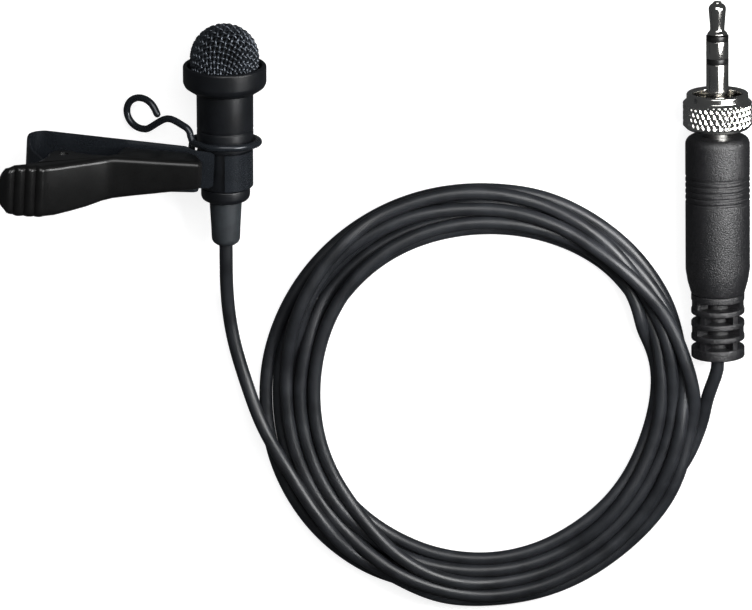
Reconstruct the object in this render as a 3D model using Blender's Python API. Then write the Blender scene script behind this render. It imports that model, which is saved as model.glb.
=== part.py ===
"""Lavalier microphone on a cloth clip, with its coiled lead and a locking 3.5 mm plug, lying on a table.

The microphone and the clip are drawn in the microphone's own frame: x to the right, y along the axis
from the cable end to the windscreen, z up. The plug has the same kind of frame, with y towards its tip.
Lengths are in millimetres until they reach a mesh.
"""

import math

import bmesh
import bpy
from mathutils import Matrix, Vector

MM = 0.001
GAP = 0.05

# Where things lie, in world millimetres: the origin is under the middle of the microphone and its clip.
MIC_PLACE = (14.24, -17.57, 4.46)
MIC_TILT = 4.4
CLIP_ROLL = -4.0
CLIP_YAW = -3.2
PLUG_PLACE = (91.54, -36.42, 4.83)
PLUG_TILT, PLUG_YAW = 0.9, 0.9
COIL_CENTRE = (54.2, -42.8)
COIL_OUTER = 34.25
COIL_INNER = 26.0
COIL_HEIGHT = 4.2
CORD_R = 1.05

# Microphone: radii, and heights along its axis from the boot's end.
BOOT_END_R, BOOT_R, BOOT_TOP_R, BOOT_TOP = 1.35, 2.22, 2.54, 7.2
CAP_R, CAP_BOTTOM, CAP_TOP = 3.84, 7.3, 9.5
LOWER_R, LOWER_TOP = 3.85, 15.75
TUBE_R, TUBE_BORE, TUBE_TOP = 4.42, 3.7, 26.8
COLLAR_R, COLLAR_BOTTOM, COLLAR_SHOULDER, COLLAR_TOP = 6.5, 25.0, 26.4, 29.3
DOME_R, DOME_CENTRE, DOME_FOOT, MESH_WALL, FOAM_WALL = 5.45, 30.35, 27.5, 0.3, 0.8
CAPSULE_R, CAPSULE_FRONT, CAPSULE_BACK = 3.0, 26.5, 23.7

# Clip.
RING_HEIGHT, RING_R, WIRE_R = 16.8, 5.2, 0.55
HOLDER_R, SHEET, HOLDER_LOW, HOLDER_HIGH = 4.15, 0.4, 9.75, 15.7
STRIP_MIDDLE, STRIP_BACK, STRIP_THICK = 13.4, 4.5, 0.45
STRIP_END, BEND_X, BEND_R = -1.35, -27.7, 2.5
PIVOT_X, PIVOT_LIFT, PIN_R = -24.2, 6.2, 0.7
STRIP_FRONT = STRIP_BACK + STRIP_THICK
PIVOT = (PIVOT_X, STRIP_FRONT + PIVOT_LIFT)

# Plug: heights along its axis from the end that the cord enters.
SHAFT_R = 1.75
PLUG_R, PLUG_TOP, PLUG_TAPER, PLUG_FOOT = 5.05, 36.5, 15.1, 11.25
NUT_R, NUT_LOW, NUT_TOP = 5.4, 37.4, 43.4
RELIEF_R, RELIEF_LOW, SLOT, DISC, END_DISC = 4.2, 0.9, 1.15, 0.95, 1.7


def clear_scene():
    for obj in list(bpy.data.objects):
        bpy.data.objects.remove(obj, do_unlink=True)


def material(name, colour, rough, metal=0.0):
    """One Principled material, shared by the pieces that are made of it."""
    if name in bpy.data.materials:
        return bpy.data.materials[name]
    made = bpy.data.materials.new(name)
    made.use_nodes = True
    shader = made.node_tree.nodes["Principled BSDF"]
    shader.inputs["Base Color"].default_value = (*colour, 1.0)
    shader.inputs["Roughness"].default_value = rough
    shader.inputs["Metallic"].default_value = metal
    return made


FINISHES = {
    "mesh": ((0.03, 0.032, 0.036), 0.35, 1.0),
    "housing": ((0.014, 0.014, 0.015), 0.38, 0.0),
    "rubber": ((0.035, 0.036, 0.038), 0.75, 0.0),
    "foam": ((0.01, 0.01, 0.01), 1.0, 0.0),
    "aluminium": ((0.75, 0.75, 0.76), 0.35, 1.0),
    "film": ((0.7, 0.65, 0.5), 0.25, 1.0),
    "board": ((0.03, 0.16, 0.06), 0.5, 0.0),
    "black_steel": ((0.012, 0.013, 0.015), 0.18, 0.0),
    "steel": ((0.6, 0.6, 0.6), 0.3, 1.0),
    "lever": ((0.012, 0.012, 0.013), 0.28, 0.0),
    "cord": ((0.02, 0.021, 0.023), 0.5, 0.0),
    "plug_plastic": ((0.012, 0.012, 0.012), 0.45, 0.0),
    "nickel": ((0.72, 0.71, 0.68), 0.15, 1.0),
    "insulator": ((0.015, 0.015, 0.015), 0.4, 0.0),
    "brass": ((0.7, 0.52, 0.25), 0.3, 1.0),
}


def empty(name, place=(0, 0, 0), turn=(0, 0, 0), parent=None):
    made = bpy.data.objects.new(name, None)
    bpy.context.scene.collection.objects.link(made)
    made.parent = parent
    made.location = Vector(place) * MM
    made.rotation_euler = [math.radians(angle) for angle in turn]
    return made


def add_mesh(name, mesh, finish, parent, origin=(0, 0, 0)):
    """Makes a mesh drawn in the frame's millimetres into a sub-part; origin is its parent's place there."""
    bmesh.ops.recalc_face_normals(mesh, faces=mesh.faces)
    bmesh.ops.translate(mesh, verts=mesh.verts, vec=-Vector(origin))
    bmesh.ops.scale(mesh, verts=mesh.verts, vec=(MM, MM, MM))
    data = bpy.data.meshes.new(name)
    mesh.to_mesh(data)
    mesh.free()
    made = bpy.data.objects.new(name, data)
    bpy.context.scene.collection.objects.link(made)
    made.parent = parent
    data.materials.append(material(finish, *FINISHES[finish]))
    return made


def turned(profile, sides, ring=False):
    """A solid turned about y from (radius, height) points; ring closes the profile on itself."""
    mesh = bmesh.new()
    rows = []
    for radius, height in profile:
        if radius < 1e-6:
            rows.append([mesh.verts.new((0, height, 0))])
            continue
        angles = [2 * math.pi * (k + 0.5) / sides for k in range(sides)]
        rows.append([mesh.verts.new((radius * math.cos(a), height, radius * math.sin(a))) for a in angles])
    pairs = list(zip(rows, rows[1:]))
    if ring:
        pairs.append((rows[-1], rows[0]))
    for low, high in pairs:
        for k in range(sides):
            n = (k + 1) % sides
            corners = [low[k % len(low)], low[n % len(low)], high[n % len(high)], high[k % len(high)]]
            corners = list(dict.fromkeys(corners))
            if len(corners) > 2:
                mesh.faces.new(corners)
    return mesh


def turned_part(name, profile, finish, parent, sides=36, ring=False):
    return add_mesh(name, turned(profile, sides, ring), finish, parent)


def arc(centre, radius, start, end, steps):
    """Points on an arc, from one angle in degrees to another."""
    angles = [math.radians(start + (end - start) * k / steps) for k in range(steps + 1)]
    return [(centre[0] + radius * math.cos(a), centre[1] + radius * math.sin(a)) for a in angles]


def smooth_path(points, per_span=6, closed=False):
    """A Catmull-Rom curve through the points."""
    points = [Vector(p) for p in points]
    ends = [points[0] * 2 - points[1]] + points + [points[-1] * 2 - points[-2]]
    found = []
    for a, b, c, d in zip(ends, ends[1:], ends[2:], ends[3:]):
        for k in range(per_span):
            t = k / per_span
            found.append(
                0.5 * (2 * b + (c - a) * t + (2 * a - 5 * b + 4 * c - d) * t * t + (3 * b - a - 3 * c + d) * t**3)
            )
    return found + [points[-1]]


def wire(name, points, radius, finish, parent, origin=(0, 0, 0), sides_level=2):
    """A round wire or cord: a bevelled poly curve with filled caps."""
    curve = bpy.data.curves.new(name, "CURVE")
    curve.dimensions = "3D"
    curve.bevel_depth = radius * MM
    curve.bevel_resolution = sides_level
    curve.use_fill_caps = True
    spline = curve.splines.new("POLY")
    spline.points.add(len(points) - 1)
    for target, point in zip(spline.points, points):
        target.co = (*((Vector(point) - Vector(origin)) * MM), 1)
    made = bpy.data.objects.new(name, curve)
    bpy.context.scene.collection.objects.link(made)
    made.parent = parent
    curve.materials.append(material(finish, *FINISHES[finish]))
    return made


def extruded(outline, low, high):
    """A prism along y from an (x, z) outline; low and high are heights, or functions of x."""
    mesh = bmesh.new()
    low_at = low if callable(low) else lambda x: low
    high_at = high if callable(high) else lambda x: high
    bottom = [mesh.verts.new((x, low_at(x), z)) for x, z in outline]
    top = [mesh.verts.new((x, high_at(x), z)) for x, z in outline]
    mesh.faces.new(bottom)
    mesh.faces.new(reversed(top))
    for k in range(len(outline)):
        n = (k + 1) % len(outline)
        mesh.faces.new((bottom[k], top[k], top[n], bottom[n]))
    return mesh


def sheet(path, thickness, half_width, middle=0.0):
    """A bent strip of sheet: an (x, z) path, its thickness, and its half width as a function of travel."""
    mesh = bmesh.new()
    points = [Vector((x, 0, z)) for x, z in path]
    rows = []
    travel = 0.0
    for k, point in enumerate(points):
        travel += (point - points[k - 1]).length if k else 0
        along = (points[min(k + 1, len(points) - 1)] - points[max(k - 1, 0)]).normalized()
        side = Vector((along.z, 0, -along.x)) * thickness / 2
        wide = Vector((0, half_width(travel), 0))
        mid = point + Vector((0, middle, 0))
        rows.append([mesh.verts.new(mid + a + b) for a, b in ((side, wide), (side, -wide), (-side, -wide), (-side, wide))])
    mesh.faces.new(rows[0])
    mesh.faces.new(reversed(rows[-1]))
    for low, high in zip(rows, rows[1:]):
        for k in range(4):
            n = (k + 1) % 4
            mesh.faces.new((low[k], high[k], high[n], low[n]))
    return mesh


def cut(target, name, mesh, parent, origin=(0, 0, 0)):
    """Cuts the mesh out of the target with a hidden helper."""
    helper = add_mesh(name, mesh, "insulator", parent, origin)
    helper.hide_render = True
    helper.display_type = "WIRE"
    made = target.modifiers.new(name, "BOOLEAN")
    made.operation = "DIFFERENCE"
    made.solver = "EXACT"
    made.object = helper


# ---------------------------------------------------------------- microphone


def make_housing(mic):
    turned_part(
        "cable_boot",
        [(0, 0), (BOOT_END_R, 0), (BOOT_R - 0.2, 0.6), (BOOT_R, 0.95), (BOOT_TOP_R, BOOT_TOP), (2.0, BOOT_TOP),
         (2.0, 8.2), (0, 8.2)],
        "rubber", mic, 32,
    )
    turned_part(
        "end_cap",
        [(2.05, CAP_BOTTOM), (3.0, CAP_BOTTOM), (3.55, 7.6), (CAP_R, 8.1), (CAP_R, CAP_TOP), (3.3, CAP_TOP),
         (3.3, 11.0), (2.05, 11.0)],
        "housing", mic, 40, ring=True,
    )
    turned_part(
        "lower_housing",
        [(3.35, CAP_TOP + GAP), (LOWER_R, CAP_TOP + GAP), (LOWER_R, LOWER_TOP), (3.65, LOWER_TOP), (3.65, 18.6),
         (3.35, 18.6)],
        "housing", mic, 40, ring=True,
    )
    turned_part(
        "upper_housing",
        [(TUBE_BORE, LOWER_TOP + GAP), (TUBE_R - 0.15, LOWER_TOP + GAP), (TUBE_R, 16.0), (TUBE_R, 18.85),
         (TUBE_R - 0.12, 18.9), (TUBE_R - 0.12, 19.1), (TUBE_R, 19.15), (TUBE_R, TUBE_TOP), (TUBE_BORE, TUBE_TOP)],
        "housing", mic, 40, ring=True,
    )
    turned_part("cable_crimp", [(1.2, 8.3), (1.7, 8.3), (1.7, 10.6), (1.2, 10.6)], "brass", mic, 20, ring=True)


def make_capsule(mic):
    seat = CAPSULE_R + GAP
    turned_part(
        "capsule_seat",
        [(2.4, 22.4), (3.65, 22.4), (3.65, 26.2), (seat, 26.2), (seat, 23.5), (2.4, 23.5)],
        "rubber", mic, 32, ring=True,
    )
    turned_part(
        "capsule_can",
        [(1.0, CAPSULE_FRONT), (CAPSULE_R - 0.2, CAPSULE_FRONT), (CAPSULE_R, CAPSULE_FRONT - 0.2),
         (CAPSULE_R, CAPSULE_BACK), (2.75, CAPSULE_BACK), (2.75, CAPSULE_FRONT - 0.25), (1.0, CAPSULE_FRONT - 0.25)],
        "aluminium", mic, 32, ring=True,
    )
    turned_part("diaphragm_ring", [(2.2, 25.85), (2.7, 25.85), (2.7, 26.2), (2.2, 26.2)], "brass", mic, 24, ring=True)
    turned_part("diaphragm", [(0, 25.7), (2.7, 25.7), (2.7, 25.8), (0, 25.8)], "film", mic, 24)
    turned_part("backplate", [(0, 25.3), (2.4, 25.3), (2.4, 25.6), (0, 25.6)], "brass", mic, 24)
    turned_part("circuit_board", [(0, 23.75), (2.7, 23.75), (2.7, 24.2), (0, 24.2)], "board", mic, 24)
    outline = [(-0.7, -0.7), (0.7, -0.7), (0.7, 0.7), (-0.7, 0.7)]
    add_mesh("transistor", extruded(outline, 24.25, 24.9), "insulator", mic)


def make_windscreen(slide):
    turned_part(
        "windscreen_collar",
        [(TUBE_R + GAP, COLLAR_BOTTOM), (4.75, COLLAR_BOTTOM), (COLLAR_R - 0.15, COLLAR_SHOULDER - 0.15),
         (COLLAR_R, COLLAR_SHOULDER), (COLLAR_R, COLLAR_TOP - 0.2), (COLLAR_R - 0.2, COLLAR_TOP),
         (5.9, COLLAR_TOP), (5.85, COLLAR_TOP - 0.1), (5.85, DOME_FOOT - GAP), (3.9, DOME_FOOT - GAP),
         (3.9, TUBE_TOP + GAP), (TUBE_R + GAP, TUBE_TOP + GAP)],
        "housing", slide, 48, ring=True,
    )
    outer = arc((0, DOME_CENTRE), DOME_R, 0, 90, 10)
    inner = arc((0, DOME_CENTRE), DOME_R - MESH_WALL, 90, 0, 8)
    dome = [(DOME_R, DOME_FOOT)] + outer[:-1] + [(0, outer[-1][1]), (0, inner[0][1])] + inner[1:]
    turned_part("windscreen_mesh", close_foot(dome), "mesh", slide, 40)
    top = DOME_R - MESH_WALL - GAP
    outer = arc((0, DOME_CENTRE), top, 0, 90, 7)
    inner = arc((0, DOME_CENTRE), top - FOAM_WALL, 90, 0, 5)
    foam = [(top, DOME_FOOT)] + outer[:-1] + [(0, outer[-1][1]), (0, inner[0][1])] + inner[1:]
    turned_part("foam_liner", close_foot(foam), "foam", slide, 28)


def close_foot(profile):
    """Splits a dome's profile at its top, so that the outer and the inner skin join at the foot only."""
    half = next(k for k, point in enumerate(profile) if point[0] == 0)
    outer = profile[: half + 1]
    inner = profile[half + 1:]
    return list(reversed(outer)) + [(inner[-1][0], DOME_FOOT)] + list(reversed(inner))


# ---------------------------------------------------------------- clip


def ring_height(angle):
    """The ring sits a little aslant, its front strand higher."""
    return RING_HEIGHT + 0.45 * math.sin(angle)


def wire_ring_path():
    """The round clamp wire: a tail behind the strip, once round the body, then out to a pigtail loop."""
    tail = [(-5.2, 13.2, -0.6), (-5.25, 14.4, -0.55), (-5.3, 15.6, -0.5)]
    ring = [
        (RING_R * math.cos(math.radians(a)), ring_height(math.radians(a)), RING_R * math.sin(math.radians(a)))
        for a in range(-168, 136, 16)
    ]
    out = [(-4.6, 17.35, 2.9), (-5.1, 18.1, 2.5), (-5.45, 19.1, 2.2), (-6.4, 19.75, 1.7), (-9.05, 20.35, 0.1)]
    loop = []
    for angle in range(-60, -331, -22):
        turn = math.radians(angle)
        x = -13.3 + 2.45 * math.cos(turn)
        loop.append((x, 20.4 + 2.5 * math.sin(turn), -2.35 - 0.55 * (-13.3 - x)))
    return tail + ring + out + loop


def make_holder(swivel):
    """A P-shaped sheet: round the lower housing from the slot's edge, then flat behind the strip."""
    round_part = arc((0, 0), HOLDER_R, 86, -180, 36)
    corner = arc((-HOLDER_R - 0.6, 3.25), 0.6, 0, 90, 4)
    flange = STRIP_BACK - GAP - SHEET / 2
    lift = flange - corner[-1][1]
    path = round_part + [(x, z + lift) for x, z in corner] + [(-10.5, flange)]
    half = (HOLDER_HIGH - HOLDER_LOW) / 2
    add_mesh("holder_sleeve", sheet(path, SHEET, lambda t: half, HOLDER_LOW + half), "black_steel", swivel)


def tangent_angle(big, big_r, small, small_r):
    """The heading, in radians, of the straight that leaves one right-hand bend and enters another."""
    across = (small[0] - big[0], small[1] - big[1])
    return math.atan2(across[1], across[0]) - math.asin((big_r - small_r) / math.hypot(*across))


def strip_path():
    """The J-shaped spring strip: its flat leg, the bend, the short leg and the curl round the pin."""
    level = STRIP_BACK + STRIP_THICK / 2
    bend = (BEND_X, level + BEND_R)
    curl_r = PIN_R + 0.04 + STRIP_THICK / 2
    heading = math.degrees(tangent_angle(bend, BEND_R, PIVOT, curl_r))
    path = [(STRIP_END, level), (-8.0, level), (-15.0, level), (-22.0, level)]
    path += arc(bend, BEND_R, 270, 90 + heading, 12)
    path += arc(PIVOT, curl_r, 90 + heading, 90 + heading - 285, 16)
    return path


def strip_half_width(travel):
    """Half the strip's width against travel from its right end: wider to the bend, then narrow at the curl."""
    knots = [(0, 2.5), (0.5, 2.95), (3.2, 3.05), (4.5, 3.6), (26.4, 4.45), (29.5, 4.3), (33.2, 2.2), (36.4, 2.15),
             (36.6, 1.1), (60, 1.1)]
    return between(knots, travel)


def make_strip(yaw):
    mesh = sheet(strip_path(), STRIP_THICK, strip_half_width)
    for vert in mesh.verts:
        near_curl = math.hypot(vert.co.x - PIVOT[0], vert.co.z - PIVOT[1]) < 1.6
        vert.co.y -= 1.05 if near_curl else 0.0
    return add_mesh("clip_strip", mesh, "black_steel", yaw)


def lever_front():
    """The lever's front outline from its jaw tip to the end of the ribbed grip."""
    points = [(-2.8, 5.3), (-3.3, 5.9), (-9.7, 6.5), (-16.2, 7.0), (-17.6, 7.5), (-24.4, 12.3), (-25.8, 13.1)]
    ribs, pitch = 4, 1.6
    for rib in range(ribs):
        start = -26.0 - rib * pitch
        for k, rise in enumerate((0.0, 0.33, 0.42, 0.33)):
            points.append((start - pitch * k / 4, 13.3 + 0.19 * (-26.0 - start) + rise))
    return points


def lever_outline():
    """The whole outline in (x, z): the front, the rounded end, the pin knuckle, the waist and the jaw."""
    end = arc((-32.2, 12.95), 1.6, 95, 255, 5)
    knuckle = arc((PIVOT_X, PIVOT_LIFT), 2.6, 160, 320, 7)
    back = [(-27.8, 10.4)] + knuckle + [(-20.0, 5.2), (-17.5, 5.3), (-16.4, 4.4), (-15.9, 1.4), (-15.4, 0.45)]
    jaw = [(-5.5, 0.25), (-4.3, 1.0), (-3.4, 2.4), (-2.85, 4.0)]
    return [(x, z + STRIP_FRONT) for x, z in lever_front() + end + back + jaw]


def between(knots, x):
    """Straight-line reading of a list of (x, value) knots."""
    for (x0, v0), (x1, v1) in zip(knots, knots[1:]):
        if x <= x1:
            return v0 + (v1 - v0) * (x - x0) / (x1 - x0)
    return knots[-1][1]


def grip_round(x):
    """How much of its full height the grip keeps towards its half-round end."""
    centre, radius = -30.0, 3.9
    return math.sqrt(max(0.04, 1 - (max(0.0, centre - x) / radius) ** 2))


def lever_top(x):
    return (0.75 + 0.07 * (x + 3.2)) + grip_round(x) * between([(-30, 4.0), (-24, 3.65), (-16, 3.3), (-2.7, 2.2)], x)


def lever_low(x):
    knots = [(-30, 4.1), (-27.5, 4.4), (-24, 4.6), (-20, 4.2), (-15.5, 3.3), (-2.7, 2.2)]
    return (0.75 + 0.07 * (x + 3.2)) - grip_round(x) * between(knots, x)


def make_lever(hinge):
    origin = (PIVOT[0], 0, PIVOT[1])
    body = extruded(lever_outline(), lever_low, lever_top)
    lever = add_mesh("lever", body, "lever", hinge, origin)
    soften = lever.modifiers.new("soft_edges", "BEVEL")
    soften.width = 0.45 * MM
    soften.segments = 2
    soften.limit_method = "ANGLE"
    soften.angle_limit = math.radians(50)
    pocket = [(-28.1, 2.0), (-17.0, 2.0), (-17.0, 5.6), (-24.0, 10.5), (-28.1, 10.3)]
    pocket = [(x, z + STRIP_FRONT) for x, z in pocket]
    cut(lever, "lever_pocket", extruded(pocket, -2.7, 2.2), hinge, origin)
    hole = arc(PIVOT, PIN_R + GAP, 0, 345, 23)
    cut(lever, "lever_pin_hole", extruded(hole, -5, 5), hinge, origin)


def make_pin_and_spring(yaw):
    pin = arc(PIVOT, PIN_R, 0, 345, 23)
    add_mesh("hinge_pin", extruded(pin, -5.0, 2.75), "steel", yaw)
    coil_r, turns, pitch, low = 1.06, 3, 0.5, 0.34
    points = []
    for k in range(turns * 12 + 1):
        turn = 2 * math.pi * k / 12
        place = (PIVOT[0] + coil_r * math.cos(turn), low + pitch * k / 12, PIVOT[1] + coil_r * math.sin(turn))
        points.append(place)
    wire("torsion_spring", points, 0.22, "steel", yaw, sides_level=1)


def make_clip(swivel):
    make_holder(swivel)
    wire("wire_ring", smooth_path(wire_ring_path(), 1), WIRE_R, "black_steel", swivel, sides_level=3)
    yaw = empty("clip_yaw", (0, STRIP_MIDDLE, 0), (0, 0, CLIP_YAW), swivel)
    make_strip(yaw)
    make_pin_and_spring(yaw)
    hinge = empty("lever_hinge", (PIVOT[0], 0, PIVOT[1]), (0, 0, 0), yaw)
    make_lever(hinge)


# ---------------------------------------------------------------- plug


def make_contacts(plug):
    rear = 31.0
    turned_part(
        "plug_tip",
        [(0, rear), (0.35, rear), (0.35, 52.55), (1.5, 52.55), (1.56, 52.8), (1.1, 53.3), (1.2, 54.6), (1.36, 56.8),
         (1.1, 57.35), (0.55, 57.8), (0, 57.9)],
        "nickel", plug, 28,
    )
    turned_part(
        "insulator_front",
        [(0.4, 49.4), (0.55, 49.4), (0.55, 51.7), (SHAFT_R, 51.7), (SHAFT_R, 52.5), (0.4, 52.5)],
        "insulator", plug, 28, ring=True,
    )
    turned_part(
        "ring_contact",
        [(0.6, rear + 1), (0.8, rear + 1), (0.8, 48.9), (SHAFT_R, 48.9), (SHAFT_R, 51.65), (0.6, 51.65)],
        "nickel", plug, 28, ring=True,
    )
    turned_part(
        "insulator_rear",
        [(0.85, rear + 2), (1.2, rear + 2), (1.2, 48.05), (SHAFT_R, 48.05), (SHAFT_R, 48.85), (0.85, 48.85)],
        "insulator", plug, 28, ring=True,
    )
    turned_part(
        "sleeve_contact",
        [(1.25, rear + 3), (SHAFT_R, rear + 3), (SHAFT_R, 48.0), (1.25, 48.0)], "nickel", plug, 28, ring=True,
    )


def make_plug_body(plug):
    turned_part(
        "plug_neck",
        [(1.8, 33.0), (2.4, 33.0), (2.4, 38.45), (3.6, 38.45), (3.6, 39.2), (2.4, 39.4), (2.4, 40.4), (1.8, 40.4)],
        "nickel", plug, 32, ring=True,
    )
    grooves = []
    for k in range(5):
        low = 26.0 + 0.95 * k
        grooves += [(PLUG_R, low), (PLUG_R - 0.16, low + 0.08), (PLUG_R - 0.16, low + 0.4), (PLUG_R, low + 0.48)]
    top = arc((PLUG_R - 1.3, PLUG_TOP - 1.3), 1.3, 0, 90, 4)
    body = [(3.2, PLUG_FOOT), (4.2, PLUG_FOOT), (4.3, 11.6), (4.75, 13.2), (PLUG_R, PLUG_TAPER)] + grooves + top
    bore = [(2.45, PLUG_TOP), (2.45, 32.4), (3.2, 32.4)]
    turned_part("plug_body", body + bore, "plug_plastic", plug, 40, ring=True)
    turned_part("plug_crimp", [(1.3, 13.0), (1.8, 13.0), (1.8, 18.0), (1.3, 18.0)], "brass", plug, 20, ring=True)


def sector(inner, outer, middle, half, low, high, steps=6):
    """A block between two radii, spread by half an angle either side of its middle, for cutting a slot."""
    far = arc((0, 0), outer, middle - half, middle + half, steps)
    near = arc((0, 0), inner, middle + half, middle - half, steps)
    return extruded(far + near, low, high)


def make_strain_relief(plug):
    relief = turned_part(
        "plug_strain_relief",
        [(0, RELIEF_LOW), (RELIEF_R - 0.4, RELIEF_LOW), (RELIEF_R, RELIEF_LOW + 0.4), (RELIEF_R, PLUG_FOOT - GAP), (3.15, PLUG_FOOT - GAP),
         (3.15, 12.5), (0, 12.5)],
        "plug_plastic", plug, 40,
    )
    slots = bmesh.new()
    for row in range(4):
        low = RELIEF_LOW + END_DISC + row * (SLOT + DISC)
        side_row = row % 2 == 0
        cuts = [(0, 44), (180, 44), (90, 34), (270, 34)] if side_row else [(90, 54), (270, 54)]
        for middle, half in cuts:
            block = sector(2.0, RELIEF_R + 0.6, middle, half, low, low + SLOT)
            holder = bpy.data.meshes.new("slot")
            bmesh.ops.recalc_face_normals(block, faces=block.faces)
            block.to_mesh(holder)
            block.free()
            slots.from_mesh(holder)
    cut(relief, "relief_slots", slots, plug)


def make_lock_nut(spin):
    turned_part(
        "lock_nut",
        [(2.5, NUT_LOW), (3.9, NUT_LOW), (4.9, 37.8), (NUT_R, 38.3), (NUT_R, 41.9), (5.1, 42.25), (4.83, 42.4),
         (4.83, 43.2), (4.65, NUT_TOP), (4.1, NUT_TOP), (3.8, 43.0), (3.8, 38.36), (2.5, 38.36)],
        "nickel", spin, 48, ring=True,
    )


# ---------------------------------------------------------------- lead


def point_on(frame, height):
    """A point of a frame's y axis, in world millimetres."""
    return frame.matrix_world @ Vector((0, height * MM, 0)) / MM


def make_lead(mic, plug):
    """The lead's two loose ends and its flat coil."""
    start, near = point_on(mic, -0.3), point_on(mic, -3.0)
    mic_route = [start, near, (14.2, -23.6, 3.0), (14.4, -27.4, 1.7), (14.9, -31.2, 1.15), (15.7, -35.0, 1.1),
                 (16.65, -38.8, 1.1), (17.5, -42.2, 1.15), (18.0, -44.6, 1.3)]
    wire("cord_mic_end", smooth_path(mic_route, 2), CORD_R, "cord", None)
    start, near = point_on(plug, RELIEF_LOW - 0.3), point_on(plug, RELIEF_LOW - 2.2)
    plug_route = [start, near, (90.95, -39.6, 4.2), (90.55, -41.5, 3.6), (90.3, -43.1, 3.0)]
    wire("cord_plug_end", smooth_path(plug_route, 2), CORD_R, "cord", None)
    low, high, soft = 0.05, 0.05 + COIL_HEIGHT, 1.7
    section = []
    for centre, start_angle in (((COIL_OUTER - soft, low + soft), -90), ((COIL_OUTER - soft, high - soft), 0),
                                ((COIL_INNER + soft, high - soft), 90), ((COIL_INNER + soft, low + soft), 180)):
        section += arc(centre, soft, start_angle, start_angle + 90, 4)
    upright = empty("coil_upright", (*COIL_CENTRE, 0), (90, 0, 0))
    turned_part("cord_coil", section, "cord", upright, 64, ring=True)


def main():
    clear_scene()
    mic = empty("mic_frame", MIC_PLACE, (MIC_TILT, 0, 0))
    slide = empty("windscreen_slide", parent=mic)
    swivel = empty("clip_swivel", turn=(0, CLIP_ROLL, 0), parent=mic)
    plug = empty("plug_frame", PLUG_PLACE, (PLUG_TILT, 0, PLUG_YAW))
    spin = empty("lock_nut_spin", parent=plug)
    bpy.context.view_layer.update()
    make_housing(mic)
    make_capsule(mic)
    make_windscreen(slide)
    make_clip(swivel)
    make_contacts(plug)
    make_plug_body(plug)
    make_strain_relief(plug)
    make_lock_nut(spin)
    make_lead(mic, plug)
    bpy.context.view_layer.update()


main()
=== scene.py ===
"""Looks of a lavalier microphone on its cloth clip, with a coiled lead and a locking 3.5 mm plug.

The microphone, clip and plug each have a frame of their own, as in the CAD: x to the right, y along
the axis, z up. Lengths are written in millimetres and turned into metres where a mesh is made. The
lights are placed in metres.
"""

import math

import bmesh
import bpy
import numpy as np
from mathutils import Matrix, Vector


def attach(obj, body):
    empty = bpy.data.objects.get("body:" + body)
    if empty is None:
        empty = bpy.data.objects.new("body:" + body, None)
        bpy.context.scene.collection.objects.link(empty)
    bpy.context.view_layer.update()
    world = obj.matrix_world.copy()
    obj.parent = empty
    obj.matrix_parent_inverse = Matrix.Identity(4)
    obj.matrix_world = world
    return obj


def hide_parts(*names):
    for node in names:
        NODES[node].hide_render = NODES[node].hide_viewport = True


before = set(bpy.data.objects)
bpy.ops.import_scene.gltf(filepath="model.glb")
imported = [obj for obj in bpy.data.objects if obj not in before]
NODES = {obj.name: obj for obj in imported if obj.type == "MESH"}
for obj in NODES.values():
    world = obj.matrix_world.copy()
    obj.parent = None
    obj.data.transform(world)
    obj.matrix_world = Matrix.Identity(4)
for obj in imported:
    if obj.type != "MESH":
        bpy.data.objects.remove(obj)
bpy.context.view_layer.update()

MM = 0.001

# Places of the three frames, as the CAD has them.
MIC_PLACE, MIC_TILT = (14.24, -17.57, 4.46), 4.4
CLIP_ROLL, CLIP_YAW, STRIP_MIDDLE = -4.0, -3.2, 13.4
PLUG_PLACE, PLUG_TILT, PLUG_YAW = (91.54, -36.42, 4.83), 0.9, 0.9

# Lead: the middle of its coil, its diameter, and how high the centre of a strand lies in each layer.
COIL_CENTRE = (54.2, -42.8)
CORD_D = 2.1
FLOOR_LAYER, TOP_LAYER = 1.1, 2.93

# Camera: where it looks, how far back it is, how far it leans, and the width of its view there.
LOOK_AT = (37.74, -28.02, 2.0)
CAMERA_BACK, CAMERA_LEAN, VIEW_WIDTH = 1000.0, 14.0, 118.4

# Brightness of the studio: the floor's own glow, the room, and the two softboxes.
FLOOR_GLOW, ROOM_LIGHT, KEY_LIGHT, SIDE_LIGHT = 0.85, 0.06, 3.4, 3.4


def turn(x=0.0, y=0.0, z=0.0):
    """The rotation of a CAD empty with these Euler angles, in degrees."""
    about = [Matrix.Rotation(math.radians(angle), 4, axis) for angle, axis in ((z, "Z"), (y, "Y"), (x, "X"))]
    return about[0] @ about[1] @ about[2]


def move(place):
    """The shift that takes the origin to this place."""
    return Matrix.Translation(Vector(place))


MIC = move(MIC_PLACE) @ turn(x=MIC_TILT)
CLIP = MIC @ turn(y=CLIP_ROLL)
CLIP_FLAT = CLIP @ move((0, STRIP_MIDDLE, 0)) @ turn(z=CLIP_YAW)
PLUG = move(PLUG_PLACE) @ turn(x=PLUG_TILT, z=PLUG_YAW)


# ---------------------------------------------------------------- lead


def smooth_path(points, per_span):
    """A Catmull-Rom curve through the points."""
    points = [Vector(p) for p in points]
    ends = [points[0] * 2 - points[1]] + points + [points[-1] * 2 - points[-2]]
    found = []
    for a, b, c, d in zip(ends, ends[1:], ends[2:], ends[3:]):
        for k in range(per_span):
            t = k / per_span
            square = 2 * a - 5 * b + 4 * c - d
            cube = 3 * b - a - 3 * c + d
            found.append(0.5 * (2 * b + (c - a) * t + square * t * t + cube * t**3))
    return found + [points[-1]]


def evenly(points, spacing):
    """The same route with points that are this far apart."""
    points = np.array([tuple(p) for p in points], float)
    travel = np.concatenate([[0], np.cumsum(np.linalg.norm(np.diff(points, axis=0), axis=1))])
    marks = np.linspace(0, travel[-1], max(2, round(travel[-1] / spacing) + 1))
    return np.stack([np.interp(marks, travel, points[:, k]) for k in range(3)], axis=1)


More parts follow.
